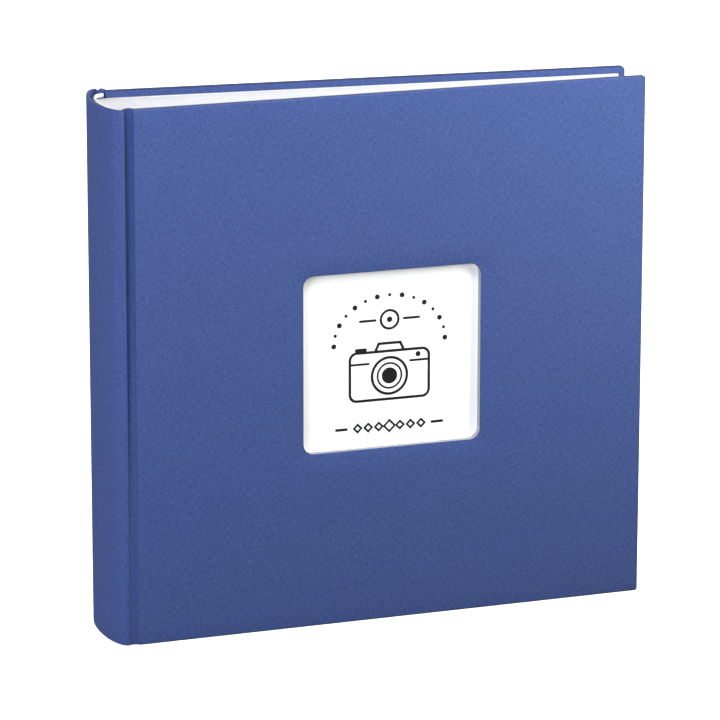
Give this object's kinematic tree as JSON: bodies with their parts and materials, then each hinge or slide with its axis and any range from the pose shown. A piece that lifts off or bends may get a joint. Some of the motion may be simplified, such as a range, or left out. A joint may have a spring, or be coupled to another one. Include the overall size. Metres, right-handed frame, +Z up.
{
  "type": "scrapbook album",
  "caption": "Cloth-covered square album that stands on its tail edges, with a rounded spine, a rounded-corner picture window in the front cover, and card leaves that fan out as the covers open.",
  "frame": {"origin": "middle of the album's footprint, on the surface that it stands on", "axes": "+X from the spine to the fore-edge, +Y from the front cover to the back cover, +Z up along the spine"},
  "size_m": [0.3146, 0.064, 0.3],
  "materials": {
    "cover_cloth": "matt bookcloth, fine plain weave, mid blue",
    "greyboard": "raw grey binder's board",
    "endpaper": "uncoated white endpaper",
    "leaf_card": "uncoated white card",
    "pocket_card": "uncoated off-white card",
    "picture_card": "smooth white card with black line art",
    "lining_paper": "brown kraft lining paper",
    "mull": "open-weave cotton mull stiffened with glue",
    "headband": "white cotton headband"
  },
  "bodies": {
    "spine": {"spine_cloth": "cover_cloth", "spine_inlay": "greyboard", "spine_lining": "lining_paper", "spine_mull": "mull", "page_guards": "leaf_card", "headband_head": "headband", "headband_tail": "headband"},
    "front_cover": {"front_board": "greyboard", "front_cloth": "cover_cloth", "front_pastedown": "endpaper", "window_pocket": "pocket_card"},
    "back_cover": {"back_board": "greyboard", "back_cloth": "cover_cloth", "back_pastedown": "endpaper"},
    "window_card": {"window_card": "picture_card"},
    "front_flyleaf": {"front_flyleaf": "endpaper"},
    "leaf_01": {"leaf_01": "leaf_card"},
    "leaf_02": {"leaf_02": "leaf_card"},
    "leaf_03": {"leaf_03": "leaf_card"},
    "leaf_04": {"leaf_04": "leaf_card"},
    "leaf_05": {"leaf_05": "leaf_card"},
    "leaf_06": {"leaf_06": "leaf_card"},
    "leaf_07": {"leaf_07": "leaf_card"},
    "leaf_08": {"leaf_08": "leaf_card"},
    "leaf_09": {"leaf_09": "leaf_card"},
    "leaf_10": {"leaf_10": "leaf_card"},
    "leaf_11": {"leaf_11": "leaf_card"},
    "leaf_12": {"leaf_12": "leaf_card"},
    "leaf_13": {"leaf_13": "leaf_card"},
    "leaf_14": {"leaf_14": "leaf_card"},
    "leaf_15": {"leaf_15": "leaf_card"},
    "leaf_16": {"leaf_16": "leaf_card"},
    "leaf_17": {"leaf_17": "leaf_card"},
    "leaf_18": {"leaf_18": "leaf_card"},
    "leaf_19": {"leaf_19": "leaf_card"},
    "leaf_20": {"leaf_20": "leaf_card"},
    "leaf_21": {"leaf_21": "leaf_card"},
    "leaf_22": {"leaf_22": "leaf_card"},
    "leaf_23": {"leaf_23": "leaf_card"},
    "leaf_24": {"leaf_24": "leaf_card"},
    "leaf_25": {"leaf_25": "leaf_card"},
    "leaf_26": {"leaf_26": "leaf_card"},
    "leaf_27": {"leaf_27": "leaf_card"},
    "leaf_28": {"leaf_28": "leaf_card"},
    "leaf_29": {"leaf_29": "leaf_card"},
    "leaf_30": {"leaf_30": "leaf_card"},
    "leaf_31": {"leaf_31": "leaf_card"},
    "leaf_32": {"leaf_32": "leaf_card"},
    "leaf_33": {"leaf_33": "leaf_card"},
    "leaf_34": {"leaf_34": "leaf_card"},
    "leaf_35": {"leaf_35": "leaf_card"},
    "leaf_36": {"leaf_36": "leaf_card"},
    "leaf_37": {"leaf_37": "leaf_card"},
    "leaf_38": {"leaf_38": "leaf_card"},
    "leaf_39": {"leaf_39": "leaf_card"},
    "leaf_40": {"leaf_40": "leaf_card"},
    "back_flyleaf": {"back_flyleaf": "endpaper"}
  },
  "joints": [
    {"name": "front_cover_hinge", "type": "hinge", "parent": "spine", "child": "front_cover", "pos_m": [-0.14514, -0.0323, 0.15], "axis": [0, 0, -1], "range_deg": [0, 180]},
    {"name": "back_cover_hinge", "type": "hinge", "parent": "spine", "child": "back_cover", "pos_m": [-0.14514, 0.0323, 0.15], "axis": [0, 0, 1], "range_deg": [0, 180]},
    {"name": "card_slide", "type": "slide", "parent": "front_cover", "child": "window_card", "axis": [0, 0, 1], "range_m": [0, 0.12]},
    {"name": "front_flyleaf_turn", "type": "hinge", "parent": "spine", "child": "front_flyleaf", "pos_m": [-0.13534, -0.02476, 0.15], "axis": [0, 0, -1], "range_deg": [0, 105]},
    {"name": "leaf_01_turn", "type": "hinge", "parent": "spine", "child": "leaf_01", "pos_m": [-0.13454, -0.02349, 0.15], "axis": [0, 0, -1], "range_deg": [0, 100]},
    {"name": "leaf_02_turn", "type": "hinge", "parent": "spine", "child": "leaf_02", "pos_m": [-0.13385, -0.02224, 0.15], "axis": [0, 0, -1], "range_deg": [0, 95]},
    {"name": "leaf_03_turn", "type": "hinge", "parent": "spine", "child": "leaf_03", "pos_m": [-0.13328, -0.02099, 0.15], "axis": [0, 0, -1], "range_deg": [0, 90]},
    {"name": "leaf_04_turn", "type": "hinge", "parent": "spine", "child": "leaf_04", "pos_m": [-0.13281, -0.01974, 0.15], "axis": [0, 0, -1], "range_deg": [0, 85]},
    {"name": "leaf_05_turn", "type": "hinge", "parent": "spine", "child": "leaf_05", "pos_m": [-0.13245, -0.01851, 0.15], "axis": [0, 0, -1], "range_deg": [0, 80]},
    {"name": "leaf_06_turn", "type": "hinge", "parent": "spine", "child": "leaf_06", "pos_m": [-0.13219, -0.01727, 0.15], "axis": [0, 0, -1], "range_deg": [0, 75]},
    {"name": "leaf_07_turn", "type": "hinge", "parent": "spine", "child": "leaf_07", "pos_m": [-0.13203, -0.01605, 0.15], "axis": [0, 0, -1], "range_deg": [0, 70]},
    {"name": "leaf_08_turn", "type": "hinge", "parent": "spine", "child": "leaf_08", "pos_m": [-0.13198, -0.01482, 0.15], "axis": [0, 0, -1], "range_deg": [0, 65]},
    {"name": "leaf_09_turn", "type": "hinge", "parent": "spine", "child": "leaf_09", "pos_m": [-0.13198, -0.0136, 0.15], "axis": [0, 0, -1], "range_deg": [0, 60]},
    {"name": "leaf_10_turn", "type": "hinge", "parent": "spine", "child": "leaf_10", "pos_m": [-0.13198, -0.01237, 0.15], "axis": [0, 0, -1], "range_deg": [0, 55]},
    {"name": "leaf_11_turn", "type": "hinge", "parent": "spine", "child": "leaf_11", "pos_m": [-0.13198, -0.01115, 0.15], "axis": [0, 0, -1], "range_deg": [0, 50]},
    {"name": "leaf_12_turn", "type": "hinge", "parent": "spine", "child": "leaf_12", "pos_m": [-0.13198, -0.00992, 0.15], "axis": [0, 0, -1], "range_deg": [0, 45]},
    {"name": "leaf_13_turn", "type": "hinge", "parent": "spine", "child": "leaf_13", "pos_m": [-0.13198, -0.0087, 0.15], "axis": [0, 0, -1], "range_deg": [0, 40]},
    {"name": "leaf_14_turn", "type": "hinge", "parent": "spine", "child": "leaf_14", "pos_m": [-0.13198, -0.00748, 0.15], "axis": [0, 0, -1], "range_deg": [0, 35]},
    {"name": "leaf_15_turn", "type": "hinge", "parent": "spine", "child": "leaf_15", "pos_m": [-0.13198, -0.00626, 0.15], "axis": [0, 0, -1], "range_deg": [0, 30]},
    {"name": "leaf_16_turn", "type": "hinge", "parent": "spine", "child": "leaf_16", "pos_m": [-0.13198, -0.00503, 0.15], "axis": [0, 0, -1], "range_deg": [0, 25]},
    {"name": "leaf_17_turn", "type": "hinge", "parent": "spine", "child": "leaf_17", "pos_m": [-0.13198, -0.00381, 0.15], "axis": [0, 0, -1], "range_deg": [0, 20]},
    {"name": "leaf_18_turn", "type": "hinge", "parent": "spine", "child": "leaf_18", "pos_m": [-0.13198, -0.00258, 0.15], "axis": [0, 0, -1], "range_deg": [0, 15]},
    {"name": "leaf_19_turn", "type": "hinge", "parent": "spine", "child": "leaf_19", "pos_m": [-0.13198, -0.00136, 0.15], "axis": [0, 0, -1], "range_deg": [0, 10]},
    {"name": "leaf_20_turn", "type": "hinge", "parent": "spine", "child": "leaf_20", "pos_m": [-0.13198, -0.00014, 0.15], "axis": [0, 0, -1], "range_deg": [0, 5]},
    {"name": "leaf_21_turn", "type": "hinge", "parent": "spine", "child": "leaf_21", "pos_m": [-0.13198, 0.00109, 0.15], "axis": [0, 0, 1], "range_deg": [0, 5]},
    {"name": "leaf_22_turn", "type": "hinge", "parent": "spine", "child": "leaf_22", "pos_m": [-0.13198, 0.00231, 0.15], "axis": [0, 0, 1], "range_deg": [0, 10]},
    {"name": "leaf_23_turn", "type": "hinge", "parent": "spine", "child": "leaf_23", "pos_m": [-0.13198, 0.00353, 0.15], "axis": [0, 0, 1], "range_deg": [0, 15]},
    {"name": "leaf_24_turn", "type": "hinge", "parent": "spine", "child": "leaf_24", "pos_m": [-0.13198, 0.00476, 0.15], "axis": [0, 0, 1], "range_deg": [0, 20]},
    {"name": "leaf_25_turn", "type": "hinge", "parent": "spine", "child": "leaf_25", "pos_m": [-0.13198, 0.00598, 0.15], "axis": [0, 0, 1], "range_deg": [0, 25]},
    {"name": "leaf_26_turn", "type": "hinge", "parent": "spine", "child": "leaf_26", "pos_m": [-0.13198, 0.0072, 0.15], "axis": [0, 0, 1], "range_deg": [0, 30]},
    {"name": "leaf_27_turn", "type": "hinge", "parent": "spine", "child": "leaf_27", "pos_m": [-0.13198, 0.00843, 0.15], "axis": [0, 0, 1], "range_deg": [0, 35]},
    {"name": "leaf_28_turn", "type": "hinge", "parent": "spine", "child": "leaf_28", "pos_m": [-0.13198, 0.00965, 0.15], "axis": [0, 0, 1], "range_deg": [0, 40]},
    {"name": "leaf_29_turn", "type": "hinge", "parent": "spine", "child": "leaf_29", "pos_m": [-0.13198, 0.01087, 0.15], "axis": [0, 0, 1], "range_deg": [0, 45]},
    {"name": "leaf_30_turn", "type": "hinge", "parent": "spine", "child": "leaf_30", "pos_m": [-0.13198, 0.0121, 0.15], "axis": [0, 0, 1], "range_deg": [0, 50]},
    {"name": "leaf_31_turn", "type": "hinge", "parent": "spine", "child": "leaf_31", "pos_m": [-0.13198, 0.01332, 0.15], "axis": [0, 0, 1], "range_deg": [0, 55]},
    {"name": "leaf_32_turn", "type": "hinge", "parent": "spine", "child": "leaf_32", "pos_m": [-0.13198, 0.01455, 0.15], "axis": [0, 0, 1], "range_deg": [0, 60]},
    {"name": "leaf_33_turn", "type": "hinge", "parent": "spine", "child": "leaf_33", "pos_m": [-0.13198, 0.01577, 0.15], "axis": [0, 0, 1], "range_deg": [0, 65]},
    {"name": "leaf_34_turn", "type": "hinge", "parent": "spine", "child": "leaf_34", "pos_m": [-0.13203, 0.01699, 0.15], "axis": [0, 0, 1], "range_deg": [0, 70]},
    {"name": "leaf_35_turn", "type": "hinge", "parent": "spine", "child": "leaf_35", "pos_m": [-0.13219, 0.01822, 0.15], "axis": [0, 0, 1], "range_deg": [0, 75]},
    {"name": "leaf_36_turn", "type": "hinge", "parent": "spine", "child": "leaf_36", "pos_m": [-0.13245, 0.01946, 0.15], "axis": [0, 0, 1], "range_deg": [0, 80]},
    {"name": "leaf_37_turn", "type": "hinge", "parent": "spine", "child": "leaf_37", "pos_m": [-0.13281, 0.02069, 0.15], "axis": [0, 0, 1], "range_deg": [0, 85]},
    {"name": "leaf_38_turn", "type": "hinge", "parent": "spine", "child": "leaf_38", "pos_m": [-0.13328, 0.02194, 0.15], "axis": [0, 0, 1], "range_deg": [0, 90]},
    {"name": "leaf_39_turn", "type": "hinge", "parent": "spine", "child": "leaf_39", "pos_m": [-0.13385, 0.02319, 0.15], "axis": [0, 0, 1], "range_deg": [0, 95]},
    {"name": "leaf_40_turn", "type": "hinge", "parent": "spine", "child": "leaf_40", "pos_m": [-0.13454, 0.02444, 0.15], "axis": [0, 0, 1], "range_deg": [0, 100]},
    {"name": "back_flyleaf_turn", "type": "hinge", "parent": "spine", "child": "back_flyleaf", "pos_m": [-0.13534, 0.02571, 0.15], "axis": [0, 0, 1], "range_deg": [0, 105]}
  ],
  "couplings": [
    {"joint": "front_flyleaf_turn", "follows": "front_cover_hinge", "ratio": 0.58333},
    {"joint": "leaf_01_turn", "follows": "front_cover_hinge", "ratio": 0.55556},
    {"joint": "leaf_02_turn", "follows": "front_cover_hinge", "ratio": 0.52778},
    {"joint": "leaf_03_turn", "follows": "front_cover_hinge", "ratio": 0.5},
    {"joint": "leaf_04_turn", "follows": "front_cover_hinge", "ratio": 0.47222},
    {"joint": "leaf_05_turn", "follows": "front_cover_hinge", "ratio": 0.44444},
    {"joint": "leaf_06_turn", "follows": "front_cover_hinge", "ratio": 0.41667},
    {"joint": "leaf_07_turn", "follows": "front_cover_hinge", "ratio": 0.38889},
    {"joint": "leaf_08_turn", "follows": "front_cover_hinge", "ratio": 0.36111},
    {"joint": "leaf_09_turn", "follows": "front_cover_hinge", "ratio": 0.33333},
    {"joint": "leaf_10_turn", "follows": "front_cover_hinge", "ratio": 0.30556},
    {"joint": "leaf_11_turn", "follows": "front_cover_hinge", "ratio": 0.27778},
    {"joint": "leaf_12_turn", "follows": "front_cover_hinge", "ratio": 0.25},
    {"joint": "leaf_13_turn", "follows": "front_cover_hinge", "ratio": 0.22222},
    {"joint": "leaf_14_turn", "follows": "front_cover_hinge", "ratio": 0.19444},
    {"joint": "leaf_15_turn", "follows": "front_cover_hinge", "ratio": 0.16667},
    {"joint": "leaf_16_turn", "follows": "front_cover_hinge", "ratio": 0.13889},
    {"joint": "leaf_17_turn", "follows": "front_cover_hinge", "ratio": 0.11111},
    {"joint": "leaf_18_turn", "follows": "front_cover_hinge", "ratio": 0.083333},
    {"joint": "leaf_19_turn", "follows": "front_cover_hinge", "ratio": 0.055556},
    {"joint": "leaf_20_turn", "follows": "front_cover_hinge", "ratio": 0.027778},
    {"joint": "leaf_21_turn", "follows": "back_cover_hinge", "ratio": 0.027778},
    {"joint": "leaf_22_turn", "follows": "back_cover_hinge", "ratio": 0.055556},
    {"joint": "leaf_23_turn", "follows": "back_cover_hinge", "ratio": 0.083333},
    {"joint": "leaf_24_turn", "follows": "back_cover_hinge", "ratio": 0.11111},
    {"joint": "leaf_25_turn", "follows": "back_cover_hinge", "ratio": 0.13889},
    {"joint": "leaf_26_turn", "follows": "back_cover_hinge", "ratio": 0.16667},
    {"joint": "leaf_27_turn", "follows": "back_cover_hinge", "ratio": 0.19444},
    {"joint": "leaf_28_turn", "follows": "back_cover_hinge", "ratio": 0.22222},
    {"joint": "leaf_29_turn", "follows": "back_cover_hinge", "ratio": 0.25},
    {"joint": "leaf_30_turn", "follows": "back_cover_hinge", "ratio": 0.27778},
    {"joint": "leaf_31_turn", "follows": "back_cover_hinge", "ratio": 0.30556},
    {"joint": "leaf_32_turn", "follows": "back_cover_hinge", "ratio": 0.33333},
    {"joint": "leaf_33_turn", "follows": "back_cover_hinge", "ratio": 0.36111},
    {"joint": "leaf_34_turn", "follows": "back_cover_hinge", "ratio": 0.38889},
    {"joint": "leaf_35_turn", "follows": "back_cover_hinge", "ratio": 0.41667},
    {"joint": "leaf_36_turn", "follows": "back_cover_hinge", "ratio": 0.44444},
    {"joint": "leaf_37_turn", "follows": "back_cover_hinge", "ratio": 0.47222},
    {"joint": "leaf_38_turn", "follows": "back_cover_hinge", "ratio": 0.5},
    {"joint": "leaf_39_turn", "follows": "back_cover_hinge", "ratio": 0.52778},
    {"joint": "leaf_40_turn", "follows": "back_cover_hinge", "ratio": 0.55556},
    {"joint": "back_flyleaf_turn", "follows": "back_cover_hinge", "ratio": 0.58333}
  ]
}
